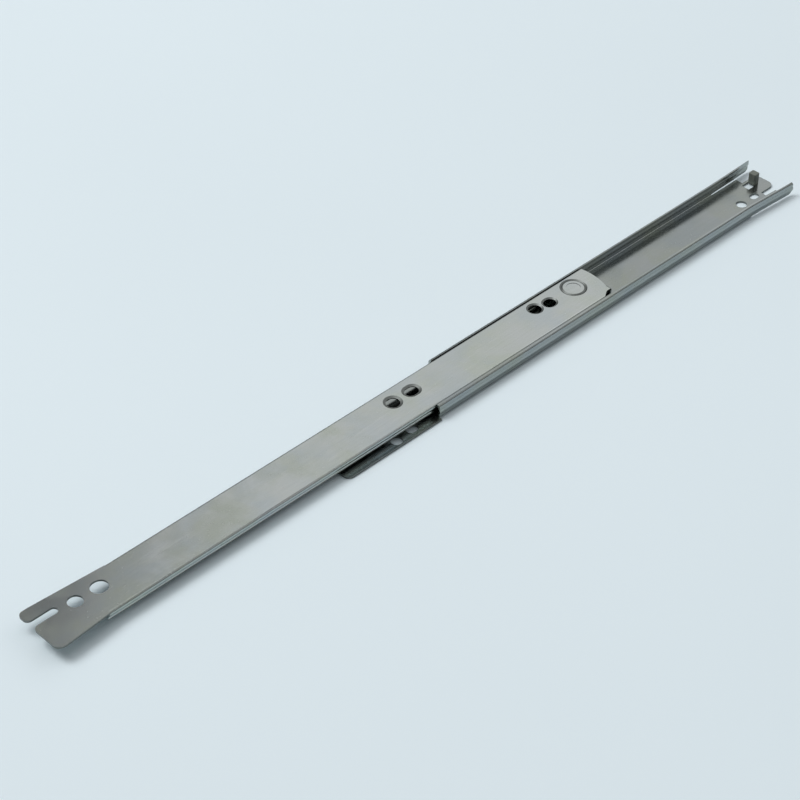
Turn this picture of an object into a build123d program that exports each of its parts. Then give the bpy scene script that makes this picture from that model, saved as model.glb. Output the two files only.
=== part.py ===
from build123d import *
import os
from math import cos, radians, sin, tan

# Two-member ball-bearing slide rail. X runs along the rail towards its rear, Y across it and
# Z away from the face that is screwed to the furniture. The origin is the middle of the
# cabinet member's length, on that face. All sizes are millimetres.

# Cabinet member, the outer channel
outer_length = 400.0
outer_height = 9.6
outer_wall_half = 17.5
outer_sheet = 1.2
outer_bend = 0.5
outer_lip_bend = 0.7
outer_lip_edge = 15.4
tongue_half = 19.5
tongue_corner = 4.0
tongue_root_half = 12.0
near_flange_start = 74.0
far_flange_start = 100.0

# Rear end of the cabinet member, measured back from its rear edge
leaf_length = 39.0
leaf_bottom = 1.5
near_leaf_flare = 2.2
far_leaf_flare = 0.9
leaf_slit = 0.5
slit_overlap = 1.0
near_lip_cut = 15.0
far_lip_cut = 10.0
leaf_lower_round = 4.0
leaf_upper_round = 1.5
rear_tongue_length = 14.0
rear_tongue_near = 5.0
rear_tongue_far = 10.5
rear_tongue_round = 4.5

# Drawer member, the inner rail
inner_length = 431.0
inner_top = 9.7
inner_half = 15.0
inner_sheet = 1.2
inner_bend = 0.2
inner_near_flange_start = 35.0
inner_far_flange_start = 55.0
rest_extension = 200.0

# Fork at the front of the drawer member
fork_near_half = 17.2
fork_far_half = 17.7
fork_straight = 7.0
fork_slot_width = 5.0
fork_slot_y = 6.6
fork_slot_depth = 17.7
fork_far_round = 3.5
fork_near_round = 4.5
fork_mouth_round = 3.2
fork_root_offset = 0.4
fork_root_half = 10.0

# Rear end of the drawer member
inner_far_corner_back = 1.0
inner_end_crown_y = 4.0
inner_near_corner_back = 3.6
inner_near_corner_y = 10.4
inner_chamfer_back = 12.8
lug_y = 10.0
lug_width = 4.0
lug_face_back = 1.7
lug_floor_gap = 0.25

# Balls and their grooves
ball_diameter = 3.5
ball_clearance = 0.03
balls_per_side = 9
outer_groove_depth = 0.4
outer_groove_radius = 2.4
outer_groove_angle = 24.0
outer_groove_blend = 1.6
inner_groove_radius = 1.9
inner_groove_angle = 60.0
inner_groove_wrap = 38.0
inner_groove_blend = 1.4
inner_groove_run_out = 0.05

# Ball retainer
retainer_length = 90.0
retainer_sheet = 0.4
retainer_bend = 0.3
retainer_floor_gap = 0.2
retainer_side_gap = 0.2
retainer_top = 7.6
pocket_clearance = 0.05
ball_end_margin = 5.0
retainer_window_length = 20.0
retainer_window_width = 16.0
retainer_windows = 3
retainer_window_round = 2.5

# Stops
open_travel = 30.0
stop_gap = 0.2
stop_tab_width = 6.0
stop_tab_height = 1.9
buffer_setback = 11.0
buffer_length = 4.8
buffer_width = 5.6
buffer_top = 9.2
buffer_y = 5.8
buffer_round = 0.9
buffer_fit = 0.05
buffer_tab_width = 4.2
buffer_tab_setback = 8.8
buffer_tab_top = 7.8
window_length = 8.0
window_relief = 0.9

# Screw holes: place along the member from its front edge, place across it, sizes
tongue_round_hole = (42.0, -14.8)
tongue_round_hole_diameter = 7.4
tongue_slot = (55.6, -13.6)
tongue_slot_size = (8.0, 6.0)
rear_round_hole = (366.4, -4.4)
rear_round_hole_diameter = 7.4
rear_slot = (379.7, -4.4)
rear_slot_size = (7.2, 5.4)
front_round_hole = (27.6, 4.2)
front_round_hole_diameter = 9.0
front_slot = (43.2, 3.9)
front_slot_size = (10.6, 9.8)
middle_round_hole = (257.4, 3.8)
middle_slot = (272.4, 3.8)
middle_slot_size = (9.4, 7.4)
rear_inner_hole = (380.3, 6.6)
rear_inner_slot = (391.3, 4.6)
rear_inner_slot_size = (8.6, 7.4)
dimpled_hole_diameter = 8.6
middle_dimple_width = 1.6
rear_dimple_width = 1.1
dimple_depth = 0.6
dimple_ledge = 0.05

# Coined ring on the drawer member
ring = (412.8, 4.6)
ring_outer_radius = 8.6
ring_width = 2.0
ring_depth = 0.5
ring_dish_radius = 4.6
ring_dish_depth = 0.2

# How far a cutter runs past the face that it opens
cut_margin = 1.0

# Values worked out from the sizes above
outer_front = -outer_length / 2
outer_rear = outer_length / 2
outer_inside = outer_wall_half - outer_sheet
ball_radius = ball_diameter / 2
ball_y = outer_inside + outer_groove_depth - ball_radius - ball_clearance
ball_z = outer_height / 2
inner_front = outer_front - rest_extension
inner_rear = inner_front + inner_length
inner_underside = inner_top - inner_sheet
lug_face = inner_rear - lug_face_back
lug_front = lug_face - inner_sheet
retainer_rear = lug_front - open_travel / 2 - stop_gap
retainer_front = retainer_rear - retainer_length
stop_tab_face = retainer_front - open_travel / 2 - stop_gap
buffer_front = outer_rear - buffer_setback
close_travel = buffer_front - inner_rear - stop_gap


def sheet_section(points, radii, sheet):
    """Return the section of a bent sheet whose left face runs through the points."""
    left = [Vector(*point) for point in points]
    ways = [(end - start).normalized() for start, end in zip(left, left[1:])]
    sides = [Vector(way.Y, -way.X) for way in ways]
    right = [left[0] + sides[0] * sheet]
    right_radii = []
    for count, radius in enumerate(radii):
        before = sides[count]
        after = sides[count + 1]
        right.append(left[count + 1] + (before + after) * (sheet / (1 + before.dot(after))))
        turns_left = ways[count].cross(ways[count + 1]).Z > 0
        right_radii.append(radius + sheet if turns_left else radius - sheet)
    right.append(left[-1] + sides[-1] * sheet)
    return make_face(
        [
            FilletPolyline(*left, radius=radii),
            Line(left[-1], right[-1]),
            FilletPolyline(*right, radius=right_radii),
            Line(right[0], left[0]),
        ]
    )


def bent_profile(points, radii, sheet):
    """Return the whole cross-section of a bent sheet from its far side's left face."""
    half = sheet_section(points, radii, sheet)
    return half + mirror(half, about=Plane.YZ)


def along(profile, start, end):
    """Extrude a cross-section along the rail from one X to another."""
    return Pos(start, 0, 0) * extrude(Plane.YZ * profile, end - start)


def box_between(low, high):
    """Return the box between two opposite corners."""
    size = [high[axis] - low[axis] for axis in range(3)]
    centre = [(high[axis] + low[axis]) / 2 for axis in range(3)]
    return Pos(*centre) * Box(*size)


def side_box(side, start, end, inside, outside, low, high):
    """Return a box on one side of the rail; side is +1 for far and -1 for near."""
    edges = sorted((side * inside, side * outside))
    return box_between((start, edges[0], low), (end, edges[1], high))


def plate(outline, low, high):
    """Extrude a flat outline between two heights."""
    return Pos(0, 0, low) * extrude(outline, high - low)


def slot_face(size):
    """Return a slot outline, its longer way along X; equal sizes give a circle."""
    length, width = size
    if length - width < 0.01:
        return Circle(width / 2)
    return SlotOverall(length, width)


def hole_cut(place, size, front, low, high):
    """Return the cutter of a plain hole or slot through a sheet."""
    where = Pos(front + place[0], place[1], 0)
    return where * plate(slot_face(size), low - cut_margin, high + cut_margin)


def dimple_cut(place, size, dimple_width, front, top):
    """Return the cutter of the pressed dimple round a hole in the drawer member."""
    length, width = size
    wide = (length + 2 * dimple_width, width + 2 * dimple_width)
    upper = Pos(0, 0, top) * slot_face(wide)
    lower = Pos(0, 0, top - dimple_depth) * slot_face(
        (length + 2 * dimple_ledge, width + 2 * dimple_ledge)
    )
    return Pos(front + place[0], place[1], 0) * loft([lower, upper])


def outer_profile():
    """Cross-section of the cabinet member: web, grooved walls and turned-in lips."""
    apex_drop = outer_groove_radius * (1 / cos(radians(outer_groove_angle)) - 1)
    apex = outer_inside + outer_groove_depth + apex_drop
    rise = (apex - outer_inside) / tan(radians(outer_groove_angle))
    points = [
        (0, outer_sheet),
        (outer_inside, outer_sheet),
        (outer_inside, ball_z - rise),
        (apex, ball_z),
        (outer_inside, ball_z + rise),
        (outer_inside, outer_height - outer_sheet),
        (outer_lip_edge, outer_height - outer_sheet),
    ]
    radii = [
        outer_bend,
        outer_groove_blend,
        outer_groove_radius,
        outer_groove_blend,
        outer_lip_bend,
    ]
    return bent_profile(points, radii, outer_sheet)


def inner_profile():
    """Cross-section of the drawer member: web and side grooves that hold the balls."""
    upper = radians(inner_groove_angle)
    lower = radians(inner_groove_wrap)
    half = (upper + lower) / 2
    lean = (upper - lower) / 2
    centre = ball_y - ball_radius - ball_clearance + inner_groove_radius
    apex_y = centre - inner_groove_radius * cos(lean) / cos(half)
    apex_z = ball_z + inner_groove_radius * sin(lean) / cos(half)
    rise = (inner_half - apex_y) / tan(upper)
    tangent = inner_groove_radius * tan(half) + inner_groove_run_out
    points = [
        (0, inner_top),
        (inner_half, inner_top),
        (inner_half, apex_z + rise),
        (apex_y, apex_z),
        (apex_y + tangent * sin(lower), apex_z - tangent * cos(lower)),
    ]
    radii = [inner_bend + inner_sheet, inner_groove_blend, inner_groove_radius]
    return bent_profile(points, radii, inner_sheet)


def retainer_profile():
    """Cross-section of the ball retainer: a thin floor and two upright strips."""
    low = outer_sheet + retainer_floor_gap
    inside = inner_half + retainer_side_gap
    points = [(0, low + retainer_sheet), (inside, low + retainer_sheet), (inside, retainer_top)]
    return bent_profile(points, [retainer_bend], retainer_sheet)


def outer_web():
    """Flat web of the cabinet member with its front tongue and its narrower rear tongue."""
    edge = tongue_root_half
    slit_edge = outer_inside - leaf_slit
    near_start = outer_front + near_flange_start
    far_start = outer_front + far_flange_start
    leaf_root = outer_rear - leaf_length
    tongue_root = outer_rear - rear_tongue_length
    outline = Polyline(
        (outer_front, -tongue_half),
        (near_start, -tongue_half),
        (near_start, -edge),
        (leaf_root - slit_overlap, -edge),
        (leaf_root - slit_overlap, -slit_edge),
        (tongue_root, -slit_edge),
        (tongue_root, -rear_tongue_near),
        (outer_rear, -rear_tongue_near),
        (outer_rear, rear_tongue_far),
        (tongue_root, rear_tongue_far),
        (tongue_root, slit_edge),
        (leaf_root - slit_overlap, slit_edge),
        (leaf_root - slit_overlap, edge),
        (far_start, edge),
        (far_start, tongue_half),
        (outer_front, tongue_half),
        close=True,
    )
    web = plate(make_face(outline), 0, outer_sheet)
    upright = web.edges().filter_by(Axis.Z)
    web = fillet(upright.group_by(Axis.X)[0], tongue_corner)
    return fillet(web.edges().filter_by(Axis.Z).group_by(Axis.X)[-1], rear_tongue_round)


def rear_leaf(side, lip_cut, flare):
    """Side wall of the cabinet member's rear end, free of the web and flared outwards."""
    root = outer_rear - leaf_length
    lip_end = outer_rear - lip_cut
    lean = Vector(1, side * flare / leaf_length, 0)
    middle = (leaf_bottom + outer_height) / 2
    height = outer_height - leaf_bottom + cut_margin
    full = outer_profile() & Pos(side * outer_wall_half, middle) * Rectangle(
        2 * (outer_wall_half - outer_lip_edge + outer_groove_depth), height
    )
    wall = full & Pos(side * (outer_inside + outer_wall_half / 2), middle) * Rectangle(
        outer_wall_half, height
    )
    lipped = Solid.extrude((Pos(root, 0, 0) * (Plane.YZ * full)).face(), lean * (lip_end - root))
    start = Pos(lip_end, side * flare * (lip_end - root) / leaf_length, 0)
    bare = Solid.extrude((start * (Plane.YZ * wall)).face(), lean * lip_cut)
    side_view = make_face(
        Polyline(
            (root - cut_margin, leaf_bottom),
            (outer_rear, leaf_bottom),
            (outer_rear, outer_height + cut_margin),
            (root - cut_margin, outer_height + cut_margin),
            close=True,
        )
    )
    corners = side_view.vertices().group_by(Axis.X)[-1].sort_by(Axis.Y)
    side_view = fillet(corners[0], leaf_lower_round)
    corners = side_view.vertices().group_by(Axis.X)[-1].sort_by(Axis.Y)
    side_view = fillet(corners[-1], leaf_upper_round + cut_margin)
    return (lipped + bare) & extrude(Plane.XZ * side_view, 3 * outer_wall_half, both=True)


def buffer_tab():
    """Tab bent up from the web that carries the rear buffer."""
    face = outer_rear - buffer_tab_setback
    low_y = buffer_y - buffer_tab_width / 2
    high_y = buffer_y + buffer_tab_width / 2
    return box_between((face, low_y, 0), (face + outer_sheet, high_y, buffer_tab_top))


def outer_member():
    """Cabinet member: the outer channel with its screw holes and stops."""
    section = outer_profile()
    leaf_root = outer_rear - leaf_length
    reach = outer_wall_half + outer_groove_depth + cut_margin
    below = -cut_margin
    above = outer_height + cut_margin
    channel = along(section, outer_front + near_flange_start, leaf_root)
    gap_start = outer_front + near_flange_start - cut_margin
    far_gap_end = outer_front + far_flange_start
    channel -= side_box(1, gap_start, far_gap_end, 0, reach, below, above)
    member = channel + outer_web()
    member += rear_leaf(-1, near_lip_cut, near_leaf_flare)
    member += rear_leaf(1, far_lip_cut, far_leaf_flare)

    tab_face = outer_rear - buffer_tab_setback
    window_low = buffer_y - buffer_tab_width / 2 - window_relief
    window_high = buffer_y + buffer_tab_width / 2 + window_relief
    member -= box_between(
        (tab_face - window_length, window_low, below), (tab_face, window_high, above)
    )
    member += buffer_tab()
    member += box_between(
        (stop_tab_face - outer_sheet, -stop_tab_width / 2, 0),
        (stop_tab_face, stop_tab_width / 2, outer_sheet + stop_tab_height),
    )
    member -= box_between(
        (stop_tab_face - outer_sheet - stop_tab_height, -stop_tab_width / 2, below),
        (stop_tab_face - outer_sheet, stop_tab_width / 2, above),
    )

    round_hole = (tongue_round_hole_diameter, tongue_round_hole_diameter)
    member -= hole_cut(tongue_round_hole, round_hole, outer_front, 0, outer_sheet)
    member -= hole_cut(tongue_slot, tongue_slot_size, outer_front, 0, outer_sheet)
    round_hole = (rear_round_hole_diameter, rear_round_hole_diameter)
    member -= hole_cut(rear_round_hole, round_hole, outer_front, 0, outer_sheet)
    member -= hole_cut(rear_slot, rear_slot_size, outer_front, 0, outer_sheet)
    return member


def fork_outline():
    """Outline of the drawer member's flat front, from the fork back to the flanges."""
    near_root = inner_front + inner_near_flange_start
    far_root = inner_front + inner_far_flange_start
    back = inner_front + inner_far_flange_start + cut_margin
    edge = fork_root_half
    shape = make_face(
        Polyline(
            (inner_front, -fork_near_half),
            (inner_front + fork_straight, -fork_near_half),
            (near_root, -inner_half),
            (near_root, -edge),
            (back, -edge),
            (back, edge),
            (far_root, edge),
            (far_root, inner_half - fork_root_offset),
            (inner_front + fork_straight, fork_far_half),
            (inner_front, fork_far_half),
            close=True,
        )
    )
    slot_end = inner_front + fork_slot_depth - fork_slot_width / 2
    slot_start = inner_front - cut_margin
    shape -= Pos((slot_start + slot_end) / 2, fork_slot_y) * Rectangle(
        slot_end - slot_start, fork_slot_width
    )
    shape -= Pos(slot_end, fork_slot_y) * Circle(fork_slot_width / 2)
    tips = shape.vertices().group_by(Axis.X)[0].sort_by(Axis.Y)
    shape = fillet(tips[0], fork_near_round)
    tips = shape.vertices().filter_by(lambda v: v.X < inner_front + cut_margin).sort_by(Axis.Y)
    shape = fillet(tips[-1], fork_far_round)
    mouth = shape.vertices().filter_by(
        lambda v: v.X < inner_front + fork_mouth_round and abs(v.Y - fork_slot_y) < fork_slot_width
    )
    return fillet(mouth, fork_mouth_round)


def rear_trim():
    """Cutter that gives the drawer member its crowned end and its cut near corner."""
    far = (inner_rear - inner_far_corner_back, inner_half + cut_margin)
    crown = (inner_rear, inner_end_crown_y)
    near = (inner_rear - inner_near_corner_back, -inner_near_corner_y)
    chamfer = (inner_rear - inner_chamfer_back, -inner_half - cut_margin)
    beyond = inner_rear + inner_chamfer_back
    outline = make_face(
        [
            ThreePointArc(far, crown, near),
            Line(near, chamfer),
            Polyline(chamfer, (beyond, chamfer[1]), (beyond, far[1]), far),
        ]
    )
    return plate(outline, -cut_margin, inner_top + cut_margin)


def stop_lug():
    """Lug bent down from the drawer member's rear edge; it pushes the ball retainer."""
    low = outer_sheet + lug_floor_gap
    points = [(lug_front - inner_chamfer_back, inner_top), (lug_face, inner_top), (lug_face, low)]
    side_view = sheet_section(points, [inner_bend + inner_sheet], inner_sheet)
    lug = extrude(Plane.XZ * side_view, lug_width / 2, both=True)
    return Pos(0, -lug_y, 0) * lug


def coined_ring():
    """Cutter of the plain V-shaped ring and shallow dish pressed into the drawer member."""
    where = Pos(inner_front + ring[0], ring[1], 0)
    above = inner_top + cut_margin
    section = Polyline(
        (ring_outer_radius - ring_width, above),
        (ring_outer_radius - ring_width, inner_top),
        (ring_outer_radius - ring_width / 2, inner_top - ring_depth),
        (ring_outer_radius, inner_top),
        (ring_outer_radius, above),
        close=True,
    )
    groove = revolve(Plane.XZ * make_face(section), Axis.Z)
    return where * (groove + plate(Circle(ring_dish_radius), inner_top - ring_dish_depth, above))


def inner_member():
    """Drawer member: the inner rail with its forked front, holes, ring and stop lug."""
    near_start = inner_front + inner_near_flange_start
    far_start = inner_front + inner_far_flange_start
    rail = along(inner_profile(), near_start, inner_rear + cut_margin)
    reach = inner_half + cut_margin
    above = inner_top + cut_margin
    rail -= side_box(1, near_start - cut_margin, far_start, 0, reach, -cut_margin, above)
    rail += plate(fork_outline(), inner_underside, inner_top)
    rail -= rear_trim()
    rail += stop_lug()
    dimpled = (dimpled_hole_diameter, dimpled_hole_diameter)
    front_round = (front_round_hole_diameter, front_round_hole_diameter)
    rail -= hole_cut(front_round_hole, front_round, inner_front, inner_underside, inner_top)
    rail -= hole_cut(front_slot, front_slot_size, inner_front, inner_underside, inner_top)
    for place, size, width in (
        (middle_round_hole, dimpled, middle_dimple_width),
        (middle_slot, middle_slot_size, middle_dimple_width),
        (rear_inner_hole, dimpled, rear_dimple_width),
        (rear_inner_slot, rear_inner_slot_size, rear_dimple_width),
    ):
        rail -= hole_cut(place, size, inner_front, inner_underside, inner_top)
        rail -= dimple_cut(place, size, width, inner_front, inner_top)
    return rail - coined_ring()


def ball_places():
    """Return the X of each ball along the retainer."""
    pitch = (retainer_length - 2 * ball_end_margin) / (balls_per_side - 1)
    first = retainer_front + ball_end_margin
    return [first + count * pitch for count in range(balls_per_side)]


def ball_retainer():
    """Thin steel retainer that spaces the balls and slides between the two members."""
    retainer = along(retainer_profile(), retainer_front, retainer_rear)
    pocket = Cylinder(ball_radius + pocket_clearance, 4 * outer_wall_half, rotation=(90, 0, 0))
    for place in ball_places():
        retainer -= Pos(place, 0, ball_z) * pocket
    window = RectangleRounded(retainer_window_length, retainer_window_width, retainer_window_round)
    spacing = retainer_length / retainer_windows
    for count in range(retainer_windows):
        middle = retainer_front + spacing * (count + 0.5)
        retainer -= Pos(middle, 0, 0) * plate(window, 0, retainer_top)
    return retainer


def rear_buffer():
    """Soft block slipped over its tab; the drawer member's end meets it when closed."""
    low = outer_sheet + buffer_fit
    block = box_between(
        (buffer_front, buffer_y - buffer_width / 2, low),
        (buffer_front + buffer_length, buffer_y + buffer_width / 2, buffer_top),
    )
    block = fillet(block.edges().filter_by(Axis.Z), buffer_round)
    block = fillet(block.edges().group_by(Axis.Z)[-1], buffer_round / 2)
    tab_face = outer_rear - buffer_tab_setback
    half = buffer_tab_width / 2 + buffer_fit
    return block - box_between(
        (tab_face - buffer_fit, buffer_y - half, 0),
        (tab_face + outer_sheet + buffer_fit, buffer_y + half, buffer_tab_top + buffer_fit),
    )


def build_nodes():
    """Return every piece of the slide by its node name."""
    nodes = {
        "outer_member": outer_member(),
        "inner_member": inner_member(),
        "ball_retainer": ball_retainer(),
        "rear_buffer": rear_buffer(),
    }
    for side_name, side in (("near", -1), ("far", 1)):
        for number, place in enumerate(ball_places(), start=1):
            ball = Pos(place, side * ball_y, ball_z) * Sphere(ball_radius)
            nodes[f"ball_{side_name}_{number:02d}"] = ball
    return nodes


def main():
    os.makedirs("parts", exist_ok=True)
    for name, piece in build_nodes().items():
        export_step(piece, f"parts/{name}.step")
    print("closing travel", round(close_travel, 3), "opening travel", open_travel)
    print("ball centre", round(ball_y, 3), round(ball_z, 3))
    print("retainer", round(retainer_front, 3), round(retainer_rear, 3))


main()
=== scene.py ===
"""Finishes and stage for a two-member ball-bearing slide rail.

X runs along the rail towards its rear, Y across it and Z up. The web of the cabinet
member lies on the floor, and the drawer member is pulled out towards -X.
"""

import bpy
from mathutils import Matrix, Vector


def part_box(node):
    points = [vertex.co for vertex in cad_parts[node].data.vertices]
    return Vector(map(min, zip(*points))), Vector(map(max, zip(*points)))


bl_info = {
    "name": "Telescopic Slide Rail",
    "version": (1, 0, 0),
    "blender": (4, 5, 0),
    "location": "3D View > Sidebar > Slide Rail",
    "description": "Plated steel finishes, ball cage and studio stage for a slide rail",
    "category": "Object",
}

from math import cos, pi, radians, sin

import bpy

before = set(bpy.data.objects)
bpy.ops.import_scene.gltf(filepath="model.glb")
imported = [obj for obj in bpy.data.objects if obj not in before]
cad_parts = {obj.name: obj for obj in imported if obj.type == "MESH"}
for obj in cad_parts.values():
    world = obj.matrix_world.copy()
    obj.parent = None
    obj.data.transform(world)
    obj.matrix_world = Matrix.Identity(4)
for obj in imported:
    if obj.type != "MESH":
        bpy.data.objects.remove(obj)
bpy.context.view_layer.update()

CABINET_SHEET = "outer_member"
DRAWER_SHEET = "inner_member"
RETAINER = "ball_retainer"
BUFFER = "rear_buffer"
BALLS = sorted(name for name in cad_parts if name.startswith("ball_") and name != RETAINER)

# Spacing of shader nodes in the editor
COLUMN_WIDTH = 200.0
ROW_HEIGHT = 220.0

# Height part of a face's normal, from 0 on a wall to 1 on a level face
WALL = 0.2
LEANING_WALL = 0.5
STEEPEST_SLOPE = 0.7
STEEP_SLOPE = 0.82
SHALLOW_SLOPE = 0.96
LEVEL_FACE = 0.985

# Colours of marks and films
STREAK_DARK = (0.97, 0.97, 0.97, 1.0)
STREAK_LIGHT = (1.02, 1.02, 1.02, 1.0)
BARE_BALL = (0.68, 0.69, 0.7, 1.0)
GREASED_BALL = (0.56, 0.56, 0.5, 1.0)
PORE_DUST = (0.3, 0.31, 0.27, 1.0)
FLOOR_SHADE = 0.97

# How far marks take the roughness from its setting
PATCH_SMOOTHER = 0.04
PATCH_ROUGHER = 0.05
SPOT_DULLING = 0.12
PRESS_DULLING = 0.35
SCUFF_DULLING = 0.1

# Depth of the surface relief, in metres
GRAIN_RELIEF = 0.00001
SKIN_RELIEF = 0.00003
SKIN_STRENGTH = 0.3

# Floor and lights, in metres and radians
FLOOR_SIZE = 12.0
FLOOR_HEIGHT = -0.0002
DAYLIGHT = (0.97, 0.99, 1.0, 1.0)
LIGHT_CENTRE_X = -0.1
SOFTBOX_DISTANCE = 5.0
SOFTBOX_SIZE = (2.5, 2.5)
OVERHEAD_HEIGHT = radians(80.0)
OVERHEAD_DISTANCE = 2.6
OVERHEAD_SIZE = (2.4, 2.4)
NEAR_HEADING = radians(-35.0)
NEAR_HEIGHT = radians(36.0)
NEAR_DISTANCE = 4.0
NEAR_SIZE = (4.0, 3.0)
REAR_DISTANCE = 4.0
REAR_SIZE = (4.9, 4.1)

# Camera, with its sensor in millimetres and its range in metres
SENSOR_WIDTH = 36.0
NEAREST_SEEN = 0.01
FARTHEST_SEEN = 50.0


# Node tree helpers

def place_node(tree, kind, column, row):
    """Adds a node on a tidy grid of columns and rows."""
    node = tree.nodes.new(kind)
    node.location = (column * COLUMN_WIDTH, row * -ROW_HEIGHT)
    return node


def noise_node(tree, vector, column, row, scale, detail, rough=0.5, warp=0.0):
    """Adds a noise texture that reads the given vector socket."""
    node = place_node(tree, "ShaderNodeTexNoise", column, row)
    node.inputs["Detail"].default_value = detail
    node.inputs["Roughness"].default_value = rough
    node.inputs["Distortion"].default_value = warp
    tree.links.new(vector, node.inputs["Vector"])
    if hasattr(scale, "is_linked"):
        tree.links.new(scale, node.inputs["Scale"])
    else:
        node.inputs["Scale"].default_value = scale
    return node


def stretch_node(tree, vector, column, row, scale, offset=(0.0, 0.0, 0.0)):
    """Adds a mapping that stretches and moves a pattern."""
    node = place_node(tree, "ShaderNodeMapping", column, row)
    node.inputs["Scale"].default_value = scale
    node.inputs["Location"].default_value = offset
    tree.links.new(vector, node.inputs["Vector"])
    return node


def split_node(tree, vector, column, row):
    """Adds a node that splits a vector into its X, Y and Z parts."""
    node = place_node(tree, "ShaderNodeSeparateXYZ", column, row)
    tree.links.new(vector, node.inputs["Vector"])
    return node


def add_bump(tree, shader, height, strength, relief, row):
    """Gives a shader a relief that follows a height socket."""
    bump = place_node(tree, "ShaderNodeBump", 5, row)
    bump.inputs["Strength"].default_value = strength
    bump.inputs["Distance"].default_value = relief
    tree.links.new(height, bump.inputs["Height"])
    tree.links.new(bump.outputs["Normal"], shader.inputs["Normal"])


def range_node(tree, value, column, row, low, high, to_low=0.0, to_high=1.0):
    """Adds a clamped range that turns low...high into to_low...to_high."""
    node = place_node(tree, "ShaderNodeMapRange", column, row)
    node.inputs["From Min"].default_value = low
    node.inputs["From Max"].default_value = high
    node.inputs["To Min"].default_value = to_low
    node.inputs["To Max"].default_value = to_high
    tree.links.new(value, node.inputs["Value"])
    return node


def math_node(tree, operation, first, second, column, row):
    """Adds a math node whose inputs are sockets or numbers."""
    node = place_node(tree, "ShaderNodeMath", column, row)
    node.operation = operation
    for socket, value in zip(node.inputs, (first, second)):
        if hasattr(value, "is_linked"):
            tree.links.new(value, socket)
        else:
            socket.default_value = value
    return node


def mix_node(tree, factor, first, second, column, row, blend="MIX"):
    """Adds a colour mix whose inputs are sockets or colours."""
    node = place_node(tree, "ShaderNodeMix", column, row)
    node.data_type = "RGBA"
    node.blend_type = blend
    sockets = [node.inputs["Factor"], node.inputs[6], node.inputs[7]]
    for socket, value in zip(sockets, (factor, first, second)):
        if hasattr(value, "is_linked"):
            tree.links.new(value, socket)
        else:
            socket.default_value = value
    return node


def new_group(name, inputs, outputs):
    """Makes an empty shader group and returns its tree, input node and output node."""
    tree = bpy.data.node_groups.new(name, "ShaderNodeTree")
    for label, kind, value in inputs:
        socket = tree.interface.new_socket(name=label, in_out="INPUT", socket_type=kind)
        if value is not None:
            socket.default_value = value
    for label, kind in outputs:
        tree.interface.new_socket(name=label, in_out="OUTPUT", socket_type=kind)
    return tree, place_node(tree, "NodeGroupInput", 0, 0), place_node(tree, "NodeGroupOutput", 8, 0)


def group_node(tree, group, vector, column, row, **values):
    """Places a shader group in a material with its own values."""
    node = place_node(tree, "ShaderNodeGroup", column, row)
    node.node_tree = group
    tree.links.new(vector, node.inputs["Vector"])
    for label, value in values.items():
        node.inputs[label.replace("_", " ")].default_value = value
    return node


# Shader groups that the finishes share

def plating_mottle():
    """Cloudy patches of warm and cool passivation over a zinc coat."""
    inputs = [
        ("Vector", "NodeSocketVector", None),
        ("Base", "NodeSocketColor", (0.5, 0.52, 0.5, 1.0)),
        ("Warm", "NodeSocketColor", (0.5, 0.5, 0.45, 1.0)),
        ("Cool", "NodeSocketColor", (0.48, 0.52, 0.54, 1.0)),
        ("Patch Scale", "NodeSocketFloat", 40.0),
        ("Amount", "NodeSocketFloat", 0.5),
    ]
    outputs = [("Color", "NodeSocketColor"), ("Mask", "NodeSocketFloat")]
    tree, source, result = new_group("Plating Mottle", inputs, outputs)
    here = source.outputs
    moved = stretch_node(tree, here["Vector"], 1, 1, (1.0, 1.3, 1.3), (0.31, 0.17, 0.05))
    warm = noise_node(tree, here["Vector"], 2, 0, here["Patch Scale"], 3.0, 0.55, 0.4)
    cool = noise_node(tree, moved.outputs["Vector"], 2, 1, here["Patch Scale"], 3.0, 0.55, 0.4)
    warm_mask = range_node(tree, warm.outputs["Fac"], 3, 0, 0.42, 0.66)
    cool_mask = range_node(tree, cool.outputs["Fac"], 3, 1, 0.42, 0.66)
    warm_part = math_node(tree, "MULTIPLY", warm_mask.outputs["Result"], here["Amount"], 4, 0)
    cool_part = math_node(tree, "MULTIPLY", cool_mask.outputs["Result"], here["Amount"], 4, 1)
    warmed = mix_node(tree, warm_part.outputs["Value"], here["Base"], here["Warm"], 5, 0)
    cooled = mix_node(tree, cool_part.outputs["Value"], warmed.outputs[2], here["Cool"], 6, 0)
    tree.links.new(cooled.outputs[2], result.inputs["Color"])
    tree.links.new(warm_mask.outputs["Result"], result.inputs["Mask"])
    return tree


def rolling_grain():
    """Fine streaks left along the strip by the rolling mill, with a soft tooth."""
    inputs = [
        ("Vector", "NodeSocketVector", None),
        ("Streak Scale", "NodeSocketFloat", 1400.0),
        ("Tooth Scale", "NodeSocketFloat", 2600.0),
    ]
    outputs = [("Streaks", "NodeSocketFloat"), ("Height", "NodeSocketFloat")]
    tree, source, result = new_group("Rolling Grain", inputs, outputs)
    here = source.outputs
    drawn = stretch_node(tree, here["Vector"], 1, 0, (0.03, 1.0, 1.0))
    streaks = noise_node(tree, drawn.outputs["Vector"], 2, 0, here["Streak Scale"], 4.0, 0.6)
    tooth = noise_node(tree, here["Vector"], 2, 1, here["Tooth Scale"], 2.0, 0.5)
    levelled = range_node(tree, streaks.outputs["Fac"], 3, 0, 0.3, 0.7)
    soft = math_node(tree, "MULTIPLY", tooth.outputs["Fac"], 0.5, 3, 1)
    height = math_node(tree, "ADD", levelled.outputs["Result"], soft.outputs["Value"], 4, 0)
    tree.links.new(levelled.outputs["Result"], result.inputs["Streaks"])
    tree.links.new(height.outputs["Value"], result.inputs["Height"])
    return tree


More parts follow.
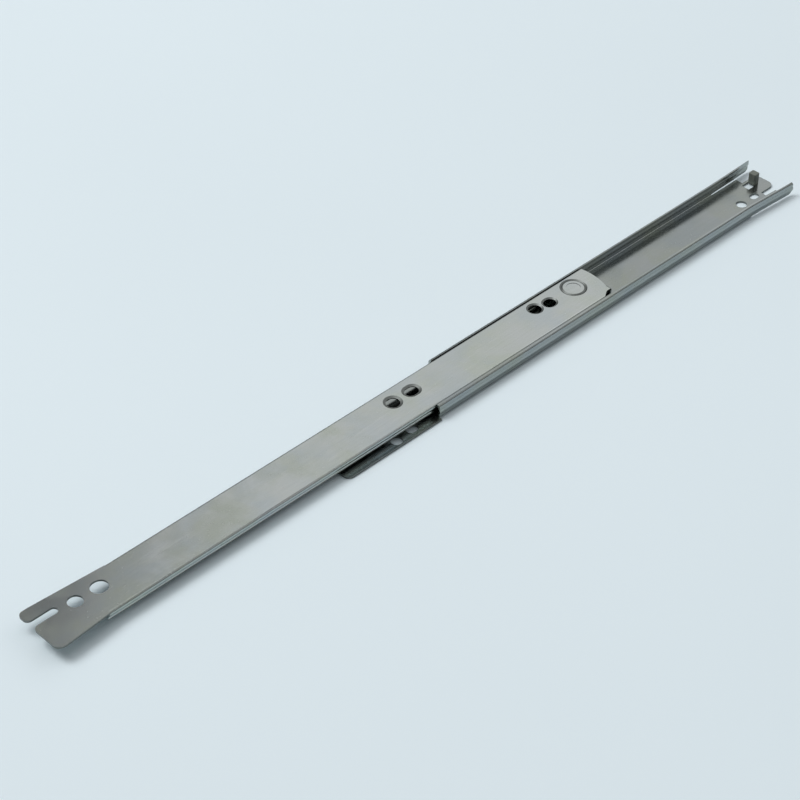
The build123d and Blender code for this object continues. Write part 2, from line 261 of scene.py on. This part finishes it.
def handling_marks():
    """Scuffs and dull spots from handling and sliding."""
    inputs = [
        ("Vector", "NodeSocketVector", None),
        ("Scuff Scale", "NodeSocketFloat", 160.0),
        ("Spot Scale", "NodeSocketFloat", 700.0),
    ]
    outputs = [("Scuffs", "NodeSocketFloat"), ("Spots", "NodeSocketFloat")]
    tree, source, result = new_group("Handling Marks", inputs, outputs)
    here = source.outputs
    slanted = stretch_node(tree, here["Vector"], 1, 0, (0.12, 1.0, 1.0), (0.2, 0.4, 0.0))
    slanted.inputs["Rotation"].default_value = (0.0, 0.0, radians(9.0))
    scuffs = noise_node(tree, slanted.outputs["Vector"], 2, 0, here["Scuff Scale"], 6.0, 0.7, 0.3)
    spots = noise_node(tree, here["Vector"], 2, 1, here["Spot Scale"], 2.0, 0.5)
    scuff_mask = range_node(tree, scuffs.outputs["Fac"], 3, 0, 0.6, 0.72)
    spot_mask = range_node(tree, spots.outputs["Fac"], 3, 1, 0.68, 0.76)
    tree.links.new(scuff_mask.outputs["Result"], result.inputs["Scuffs"])
    tree.links.new(spot_mask.outputs["Result"], result.inputs["Spots"])
    return tree


def shaded_dulled_slopes():
    """Masks the sloping sides of dimples and rings in a web, which get painted shade and duller
    plating.
    """
    inputs = [
        ("Vector", "NodeSocketVector", None),
        ("Normal", "NodeSocketVector", None),
        ("Web Half", "NodeSocketFloat", 0.0132),
    ]
    outputs = [("Mask", "NodeSocketFloat")]
    tree, source, result = new_group("Shaded Dulled Slopes", inputs, outputs)
    facing = split_node(tree, source.outputs["Normal"], 1, 0)
    level = math_node(tree, "ABSOLUTE", facing.outputs["Z"], 0.0, 2, 0)
    tilted = range_node(
        tree, level.outputs["Value"], 3, 0, SHALLOW_SLOPE, LEVEL_FACE, 1.0, 0.0,
    )
    shallow = range_node(tree, level.outputs["Value"], 3, 1, STEEPEST_SLOPE, STEEP_SLOPE)
    slope = math_node(tree, "MULTIPLY", tilted.outputs["Result"], shallow.outputs["Result"], 4, 0)
    place = split_node(tree, source.outputs["Vector"], 1, 2)
    across = math_node(tree, "ABSOLUTE", place.outputs["Y"], 0.0, 2, 2)
    web = math_node(tree, "LESS_THAN", across.outputs["Value"], source.outputs["Web Half"], 3, 2)
    mask = math_node(tree, "MULTIPLY", slope.outputs["Value"], web.outputs["Value"], 5, 0)
    tree.links.new(mask.outputs["Value"], result.inputs["Mask"])
    return tree


def shaded_cut_edges():
    """Masks the upright faces at a web's height: its cut edges, the walls of its holes and the band
    of side wall beside it, for painted shade.
    """
    inputs = [
        ("Vector", "NodeSocketVector", None),
        ("Normal", "NodeSocketVector", None),
        ("Low", "NodeSocketFloat", 0.0),
        ("High", "NodeSocketFloat", 0.0012),
    ]
    outputs = [("Mask", "NodeSocketFloat")]
    tree, source, result = new_group("Shaded Cut Edges", inputs, outputs)
    facing = split_node(tree, source.outputs["Normal"], 1, 0)
    level = math_node(tree, "ABSOLUTE", facing.outputs["Z"], 0.0, 2, 0)
    side = range_node(tree, level.outputs["Value"], 3, 0, WALL, LEANING_WALL, 1.0, 0.0)
    place = split_node(tree, source.outputs["Vector"], 1, 2)
    over = math_node(tree, "GREATER_THAN", place.outputs["Z"], source.outputs["Low"], 2, 2)
    under = math_node(tree, "LESS_THAN", place.outputs["Z"], source.outputs["High"], 3, 2)
    band = math_node(tree, "MULTIPLY", over.outputs["Value"], under.outputs["Value"], 4, 2)
    mask = math_node(tree, "MULTIPLY", side.outputs["Result"], band.outputs["Value"], 5, 0)
    tree.links.new(mask.outputs["Value"], result.inputs["Mask"])
    return tree


def shared_group(make):
    """Returns a shader group, made the first time that a finish asks for it."""
    name = make.__name__.replace("_", " ").title()
    return bpy.data.node_groups.get(name) or make()


# Finishes

def start_material(name):
    """Makes a material and returns it with its tree, its shader and its coordinate sockets."""
    material = bpy.data.materials.new(name)
    material.use_nodes = True
    tree = material.node_tree
    tree.nodes.clear()
    shader = place_node(tree, "ShaderNodeBsdfPrincipled", 6, 0)
    output = place_node(tree, "ShaderNodeOutputMaterial", 8, 0)
    tree.links.new(shader.outputs["BSDF"], output.inputs["Surface"])
    coordinates = place_node(tree, "ShaderNodeTexCoord", 0, 0)
    return material, tree, shader, coordinates.outputs


def plated_steel(name, finish):
    """Zinc plated sheet: patches, grain, scuffs, dull spots, and painted shade on pressed slopes and
    cut edges.
    """
    material, tree, shader, sockets = start_material(name)
    vector = sockets["Object"]
    mottle = group_node(
        tree, shared_group(plating_mottle), vector, 1, 0,
        Base=(*finish.base, 1.0), Warm=(*finish.warm, 1.0), Cool=(*finish.cool, 1.0),
        Patch_Scale=1.0 / finish.patch_size, Amount=finish.mottle,
    )
    grain = group_node(tree, shared_group(rolling_grain), vector, 1, 2)
    marks = group_node(tree, shared_group(handling_marks), vector, 1, 3)
    streaks = mix_node(tree, grain.outputs["Streaks"], STREAK_DARK, STREAK_LIGHT, 2, 1)
    grained = mix_node(
        tree, 1.0, mottle.outputs["Color"], streaks.outputs[2], 3, 0, "MULTIPLY",
    )
    scuff_part = math_node(tree, "MULTIPLY", marks.outputs["Scuffs"], finish.scuffs, 2, 3)
    scuffed = mix_node(
        tree, scuff_part.outputs["Value"], grained.outputs[2], (*finish.scuff_colour, 1.0), 4, 0,
    )
    # Pressed slopes: painted shade in their colour, and a duller roughness
    slopes = group_node(tree, shared_group(shaded_dulled_slopes), vector, 1, 4)
    tree.links.new(sockets["Normal"], slopes.inputs["Normal"])
    slope_shade_part = math_node(tree, "MULTIPLY", slopes.outputs["Mask"], finish.pressing, 2, 4)
    pressed = mix_node(
        tree, slope_shade_part.outputs["Value"], scuffed.outputs[2], (*finish.pressed_colour, 1.0), 5, 1,
    )
    # Upright faces at the web's height: painted shade on cut edges, hole walls and the side walls
    # beside the web
    edges = group_node(
        tree, shared_group(shaded_cut_edges), vector, 1, 5, Low=finish.web_low, High=finish.web_high,
    )
    tree.links.new(sockets["Normal"], edges.inputs["Normal"])
    sheared = mix_node(
        tree, edges.outputs["Mask"], pressed.outputs[2], (*finish.edge_colour, 1.0), 5, 0,
    )
    tree.links.new(sheared.outputs[2], shader.inputs["Base Color"])
    shader.inputs["Metallic"].default_value = 1.0
    rough = range_node(
        tree, mottle.outputs["Mask"], 3, 2, 0.0, 1.0,
        finish.roughness - PATCH_SMOOTHER, finish.roughness + PATCH_ROUGHER,
    )
    spotted = math_node(tree, "MULTIPLY_ADD", marks.outputs["Spots"], SPOT_DULLING, 4, 2)
    tree.links.new(rough.outputs["Result"], spotted.inputs[2])
    dulled = math_node(tree, "MULTIPLY_ADD", slope_shade_part.outputs["Value"], PRESS_DULLING, 5, 2)
    tree.links.new(spotted.outputs["Value"], dulled.inputs[2])
    tree.links.new(dulled.outputs["Value"], shader.inputs["Roughness"])
    add_bump(tree, shader, grain.outputs["Height"], finish.grain_depth, GRAIN_RELIEF, 3)
    return material


def polished_steel(name):
    """Hardened polished balls with a thin uneven film of grease."""
    material, tree, shader, sockets = start_material(name)
    vector = sockets["Object"]
    film = noise_node(tree, vector, 1, 0, 600.0, 3.0, 0.55)
    marks = group_node(tree, shared_group(handling_marks), vector, 1, 1)
    cover = range_node(tree, film.outputs["Fac"], 2, 0, 0.4, 0.6)
    colour = mix_node(tree, cover.outputs["Result"], BARE_BALL, GREASED_BALL, 3, 0)
    tree.links.new(colour.outputs[2], shader.inputs["Base Color"])
    shader.inputs["Metallic"].default_value = 1.0
    smear = range_node(tree, film.outputs["Fac"], 3, 1, 0.4, 0.6, 0.08, 0.24)
    worn = math_node(tree, "MULTIPLY_ADD", marks.outputs["Scuffs"], SCUFF_DULLING, 4, 1)
    tree.links.new(smear.outputs["Result"], worn.inputs[2])
    tree.links.new(worn.outputs["Value"], shader.inputs["Roughness"])
    return material


def moulded_buffer(name, settings):
    """Dark moulded plastic with a fine matt skin and dust in its pores."""
    material, tree, shader, sockets = start_material(name)
    vector = sockets["Object"]
    marks = group_node(tree, shared_group(handling_marks), vector, 1, 1, Spot_Scale=1500.0)
    skin = noise_node(tree, vector, 1, 2, 3500.0, 3.0, 0.6)
    clouds = noise_node(tree, vector, 1, 0, 260.0, 2.0)
    tone = range_node(tree, clouds.outputs["Fac"], 2, 0, 0.35, 0.65)
    dark = (*settings.buffer_dark, 1.0)
    light = (*settings.buffer_light, 1.0)
    colour = mix_node(tree, tone.outputs["Result"], dark, light, 3, 0)
    dusty = mix_node(tree, marks.outputs["Spots"], colour.outputs[2], PORE_DUST, 4, 0)
    tree.links.new(dusty.outputs[2], shader.inputs["Base Color"])
    rough = range_node(tree, skin.outputs["Fac"], 3, 1, 0.3, 0.7, 0.5, 0.68)
    tree.links.new(rough.outputs["Result"], shader.inputs["Roughness"])
    add_bump(tree, shader, skin.outputs["Fac"], SKIN_STRENGTH, SKIN_RELIEF, 2)
    return material


def paper_floor(name, settings):
    """Pale paper with a faint cloudy tone."""
    material, tree, shader, sockets = start_material(name)
    clouds = noise_node(tree, sockets["Object"], 1, 0, 1.6, 2.0)
    tone = range_node(tree, clouds.outputs["Fac"], 2, 0, 0.3, 0.7)
    light = (*settings.floor_colour, 1.0)
    darker = (*(FLOOR_SHADE * part for part in settings.floor_colour), 1.0)
    colour = mix_node(tree, tone.outputs["Result"], darker, light, 3, 0)
    tree.links.new(colour.outputs[2], shader.inputs["Base Color"])
    shader.inputs["Roughness"].default_value = 0.9
    shader.inputs["Specular IOR Level"].default_value = 0.2
    return material


def dress(names, material):
    """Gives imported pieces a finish, in place of the plain one that they came with."""
    for name in names:
        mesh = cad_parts[name].data
        if not mesh.materials:
            raise RuntimeError(f"{name} has no material slot")
        for slot in range(len(mesh.materials)):
            mesh.materials[slot] = material


# Settings

def colour_property(name, description, default):
    """A linear colour setting."""
    return bpy.props.FloatVectorProperty(
        name=name, description=description, default=default, subtype="COLOR", min=0.0, max=1.0,
    )


def share_property(name, description, default):
    """A setting between 0 and 1."""
    return bpy.props.FloatProperty(
        name=name, description=description, default=default, min=0.0, max=1.0, subtype="FACTOR",
    )


def length_property(name, description, default):
    """A length in metres."""
    return bpy.props.FloatProperty(
        name=name, description=description, default=default, min=0.0, unit="LENGTH",
    )


def angle_property(name, description, degrees):
    """An angle, stored in radians."""
    return bpy.props.FloatProperty(
        name=name, description=description, default=radians(degrees), subtype="ANGLE",
    )


def glow_property(name, description, default):
    """The brightness of a light panel."""
    return bpy.props.FloatProperty(
        name=name, description=description, default=default, min=0.0,
    )


class SlideFinish(bpy.types.PropertyGroup):
    """The look of one plated sheet."""

    base: colour_property("Base", "Colour of the zinc coat", (0.5, 0.53, 0.52))
    warm: colour_property("Warm patches", "Colour of the olive passivation", (0.47, 0.515, 0.45))
    cool: colour_property("Cool patches", "Colour of the bluish passivation", (0.45, 0.5, 0.52))
    scuff_colour: colour_property("Scuffs", "Colour of rubbed places", (0.62, 0.64, 0.63))
    patch_size: length_property("Patch size", "Size of the cloudy patches", 0.03)
    mottle: share_property("Mottle", "Strength of the cloudy patches", 0.7)
    scuffs: share_property("Scuff amount", "Strength of the rubbed places", 0.3)
    roughness: share_property("Roughness", "How matt the plating is", 0.2)
    grain_depth: share_property("Grain depth", "Strength of the rolling grain", 0.15)
    # Painted shade on pressed slopes: this one share sets both how dark they are painted and how
    # dull they are
    pressing: share_property("Pressing", "How much pressed slopes are dulled", 0.0)
    pressed_colour: colour_property("Pressed slopes", "Colour of dulled slopes", (0.13, 0.14, 0.135))
    # Painted shade on cut edges, hole walls and the side walls beside the web
    edge_colour: colour_property("Cut edges", "Colour of the shaded cut edges", (0.16, 0.17, 0.16))
    # Height band of the painted edge shade; on the cabinet member it takes in the foot of its walls,
    # as painted contact shade
    web_low: length_property("Web underside", "Height of the web's underside", 0.0)
    web_high: length_property("Web top", "Height of the web's top", 0.0012)


class SlideStage(bpy.types.PropertyGroup):
    """Camera, floor and lights."""

    lens: bpy.props.FloatProperty(
        name="Lens", description="Focal length on a 36 mm sensor, in millimetres", default=98.55,
    )
    camera_place: bpy.props.FloatVectorProperty(
        name="Camera place", description="Where the camera stands",
        default=(-0.8159, -0.6871, 0.8167), subtype="TRANSLATION", unit="LENGTH",
    )
    camera_heading: angle_property("Camera heading", "Turn from +X towards +Y", 45.5)
    camera_drop: angle_property("Camera drop", "How far the camera looks down", 39.86)
    floor_colour: colour_property("Floor", "Colour of the paper floor", (0.8, 0.9, 0.95))
    buffer_dark: colour_property("Buffer, dark", "Shade of the buffer", (0.115, 0.13, 0.115))
    buffer_light: colour_property("Buffer, light", "Light patches of the buffer", (0.17, 0.19, 0.16))
    ambient: share_property("Ambient", "Strength of the light from all round", 0.17)
    key_glow: glow_property("Key glow", "Brightness of the softbox", 6.4)
    key_heading: angle_property("Key heading", "Where the softbox stands, from +X to +Y", 125.0)
    key_height: angle_property("Key height", "How high the softbox stands", 56.0)
    top_glow: glow_property("Top glow", "Brightness of the panel overhead", 0.85)
    fill_glow: glow_property("Fill glow", "Brightness of the panel at the near side", 0.34)
    panel_glow: glow_property("Panel glow", "Brightness of the panel behind", 0.67)
    panel_heading: angle_property("Panel heading", "Where the panel stands, from +X to +Y", 14.5)
    panel_height: angle_property("Panel height", "How high the panel stands", 34.0)


# Operators

class SLIDE_OT_cabinet_member(bpy.types.Operator):
    """Finish the cabinet member as grey zinc plated sheet"""

    bl_idname = "slide_rail.cabinet_member"
    bl_label = "Cabinet Member"

    def execute(self, context):
        finish = context.scene.slide_cabinet_finish
        dress([CABINET_SHEET], plated_steel("cabinet_zinc", finish))
        return {"FINISHED"}


class SLIDE_OT_drawer_member(bpy.types.Operator):
    """Finish the drawer member as bright zinc plated sheet"""

    bl_idname = "slide_rail.drawer_member"
    bl_label = "Drawer Member"

    def execute(self, context):
        finish = context.scene.slide_drawer_finish
        dress([DRAWER_SHEET], plated_steel("drawer_zinc", finish))
        return {"FINISHED"}


class SLIDE_OT_ball_cage(bpy.types.Operator):
    """Finish the ball retainer and the balls"""

    bl_idname = "slide_rail.ball_cage"
    bl_label = "Ball Cage"

    def execute(self, context):
        dress([RETAINER], plated_steel("retainer_zinc", context.scene.slide_cabinet_finish))
        dress(BALLS, polished_steel("ball_steel_finish"))
        return {"FINISHED"}


class SLIDE_OT_rear_buffer(bpy.types.Operator):
    """Finish the rear buffer as moulded plastic"""

    bl_idname = "slide_rail.rear_buffer"
    bl_label = "Rear Buffer"

    def execute(self, context):
        dress([BUFFER], moulded_buffer("buffer_plastic", context.scene.slide_stage))
        return {"FINISHED"}


class SLIDE_OT_stage(bpy.types.Operator):
    """Set the camera, the floor and the lights"""

    bl_idname = "slide_rail.stage"
    bl_label = "Stage"

    def execute(self, context):
        stage = context.scene.slide_stage
        lay_floor(stage)
        light_stage(context.scene, stage)
        aim_camera(context.scene, stage)
        return {"FINISHED"}


# Stage

def lay_floor(stage):
    """A pale paper floor under the rail."""
    bpy.ops.object.select_all(action="DESELECT")
    bpy.ops.mesh.primitive_plane_add(size=FLOOR_SIZE, location=(0.0, 0.0, FLOOR_HEIGHT))
    floor = bpy.context.object
    floor.name = "floor"
    floor.data.materials.append(paper_floor("floor_paper", stage))


def area_light(name, heading, height, distance, size, glow):
    """A soft white panel that faces the rail from a heading and a height."""
    light = bpy.data.lights.new(name, "AREA")
    light.shape = "RECTANGLE"
    light.size, light.size_y = size
    light.energy = glow * pi * size[0] * size[1]
    panel = bpy.data.objects.new(name, light)
    bpy.context.scene.collection.objects.link(panel)
    across = distance * cos(height)
    panel.location = (
        LIGHT_CENTRE_X + across * cos(heading), across * sin(heading), distance * sin(height),
    )
    panel.rotation_euler = (pi / 2.0 - height, 0.0, heading + pi / 2.0)
    panel.visible_camera = False


def light_stage(scene, stage):
    """Even light all round, a softbox at the far side, and panels behind, overhead and near."""
    world = bpy.data.worlds.new("studio")
    world.use_nodes = True
    background = world.node_tree.nodes["Background"]
    background.inputs["Color"].default_value = DAYLIGHT
    background.inputs["Strength"].default_value = stage.ambient
    scene.world = world
    area_light(
        "softbox", stage.key_heading, stage.key_height, SOFTBOX_DISTANCE, SOFTBOX_SIZE,
        stage.key_glow,
    )
    area_light(
        "overhead", stage.key_heading, OVERHEAD_HEIGHT, OVERHEAD_DISTANCE, OVERHEAD_SIZE,
        stage.top_glow,
    )
    area_light(
        "near_fill", NEAR_HEADING, NEAR_HEIGHT, NEAR_DISTANCE, NEAR_SIZE, stage.fill_glow,
    )
    area_light(
        "rear_panel", stage.panel_heading, stage.panel_height, REAR_DISTANCE, REAR_SIZE,
        stage.panel_glow,
    )
    scene.view_settings.view_transform = "Standard"


def aim_camera(scene, stage):
    """The camera looks down along the rail from its front, at the near side."""
    data = bpy.data.cameras.new("camera")
    data.lens = stage.lens
    data.sensor_width = SENSOR_WIDTH
    data.clip_start = NEAREST_SEEN
    data.clip_end = FARTHEST_SEEN
    camera = bpy.data.objects.new("camera", data)
    scene.collection.objects.link(camera)
    camera.location = stage.camera_place
    camera.rotation_euler = (pi / 2.0 - stage.camera_drop, 0.0, stage.camera_heading - pi / 2.0)
    scene.camera = camera


# Panel and registration

class SLIDE_PT_pieces(bpy.types.Panel):
    """Lists the pieces and the stage"""

    bl_idname = "SLIDE_PT_pieces"
    bl_label = "Slide Rail"
    bl_space_type = "VIEW_3D"
    bl_region_type = "UI"
    bl_category = "Slide Rail"

    def draw(self, context):
        column = self.layout.column(align=True)
        for operator in OPERATORS:
            column.operator(operator.bl_idname, text=operator.bl_label)


OPERATORS = (
    SLIDE_OT_cabinet_member,
    SLIDE_OT_drawer_member,
    SLIDE_OT_ball_cage,
    SLIDE_OT_rear_buffer,
    SLIDE_OT_stage,
)
CLASSES = (SlideFinish, SlideStage, *OPERATORS, SLIDE_PT_pieces)


def register():
    """Registers the classes and puts their settings on the scene."""
    for cls in CLASSES:
        bpy.utils.register_class(cls)
    bpy.types.Scene.slide_cabinet_finish = bpy.props.PointerProperty(type=SlideFinish)
    bpy.types.Scene.slide_drawer_finish = bpy.props.PointerProperty(type=SlideFinish)
    bpy.types.Scene.slide_stage = bpy.props.PointerProperty(type=SlideStage)


def unregister():
    """Takes the settings and the classes away again."""
    del bpy.types.Scene.slide_stage
    del bpy.types.Scene.slide_drawer_finish
    del bpy.types.Scene.slide_cabinet_finish
    for cls in reversed(CLASSES):
        bpy.utils.unregister_class(cls)


def choose_finishes(scene):
    """Sets where the plating differs: greyer on the cabinet member, and painted shade with duller
    plating on pressed slopes.
    """
    cabinet = scene.slide_cabinet_finish
    cabinet.base = (0.335, 0.36, 0.355)
    cabinet.warm = (0.325, 0.355, 0.31)
    cabinet.cool = (0.3, 0.335, 0.35)
    cabinet.scuff_colour = (0.44, 0.46, 0.45)
    cabinet.roughness = 0.22
    drawer = scene.slide_drawer_finish
    # Painted shade and dulling on the drawer member's pressed slopes
    drawer.pressing = 0.9
    # Band of painted edge shade: the top of the drawer member, as deep as the cabinet member's web
    drawer.web_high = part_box(DRAWER_SHEET)[1][2]
    drawer.web_low = drawer.web_high - cabinet.web_high


def main():
    """Registers the add-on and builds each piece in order."""
    register()
    choose_finishes(bpy.context.scene)
    bpy.ops.slide_rail.cabinet_member()
    bpy.ops.slide_rail.drawer_member()
    bpy.ops.slide_rail.ball_cage()
    bpy.ops.slide_rail.rear_buffer()
    bpy.ops.slide_rail.stage()


if __name__ == "__main__":
    main()
